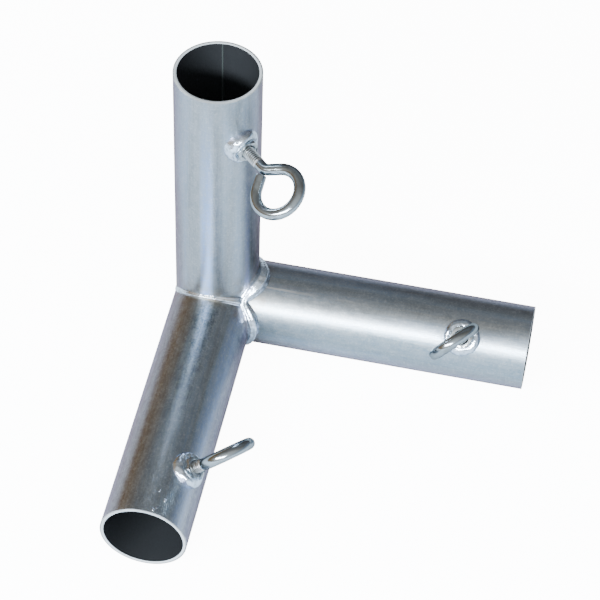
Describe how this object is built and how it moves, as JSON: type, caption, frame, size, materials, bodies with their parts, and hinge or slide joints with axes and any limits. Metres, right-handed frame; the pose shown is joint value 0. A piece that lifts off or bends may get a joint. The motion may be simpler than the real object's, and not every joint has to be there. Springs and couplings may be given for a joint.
{
  "type": "canopy frame corner connector",
  "caption": "Welded corner connector of round galvanised sleeve tubes at right angles, with eye-bolt clamp screws for canopy frame poles.",
  "frame": {"origin": "crossing of the three tube axes at the welded corner", "axes": "+Z along the upright tube, +X along the side tube, -Y along the front tube; the two lying tubes rest on z = -0.023 m"},
  "size_m": [0.1997, 0.1958, 0.193],
  "materials": {
    "galvanised_tube": "satin galvanised steel",
    "weld_bead": "rough weld under silver paint",
    "zinc_hardware": "bright zinc plate"
  },
  "bodies": {
    "connector": {"upright_tube": "galvanised_tube", "side_tube": "galvanised_tube", "front_tube": "galvanised_tube", "elbow_weld": "weld_bead", "branch_weld": "weld_bead", "upright_nut": "zinc_hardware", "side_nut": "zinc_hardware", "front_nut": "zinc_hardware", "upright_nut_weld": "weld_bead", "side_nut_weld": "weld_bead", "front_nut_weld": "weld_bead"},
    "upright_bolt": {"upright_eye_bolt": "zinc_hardware"},
    "side_bolt": {"side_eye_bolt": "zinc_hardware"},
    "front_bolt": {"front_eye_bolt": "zinc_hardware"}
  },
  "joints": [
    {"name": "upright_bolt_screw", "type": "slide", "parent": "connector", "child": "upright_bolt", "axis": [0.7193, -0.6947, 0], "range_m": [-0.0124, 0.0013]},
    {"name": "side_bolt_screw", "type": "slide", "parent": "connector", "child": "side_bolt", "axis": [0, -0.6691, 0.7431], "range_m": [-0.0091, 0.0046]},
    {"name": "front_bolt_screw", "type": "slide", "parent": "connector", "child": "front_bolt", "axis": [0.7071, 0, 0.7071], "range_m": [-0.0072, 0.0065]}
  ]
}
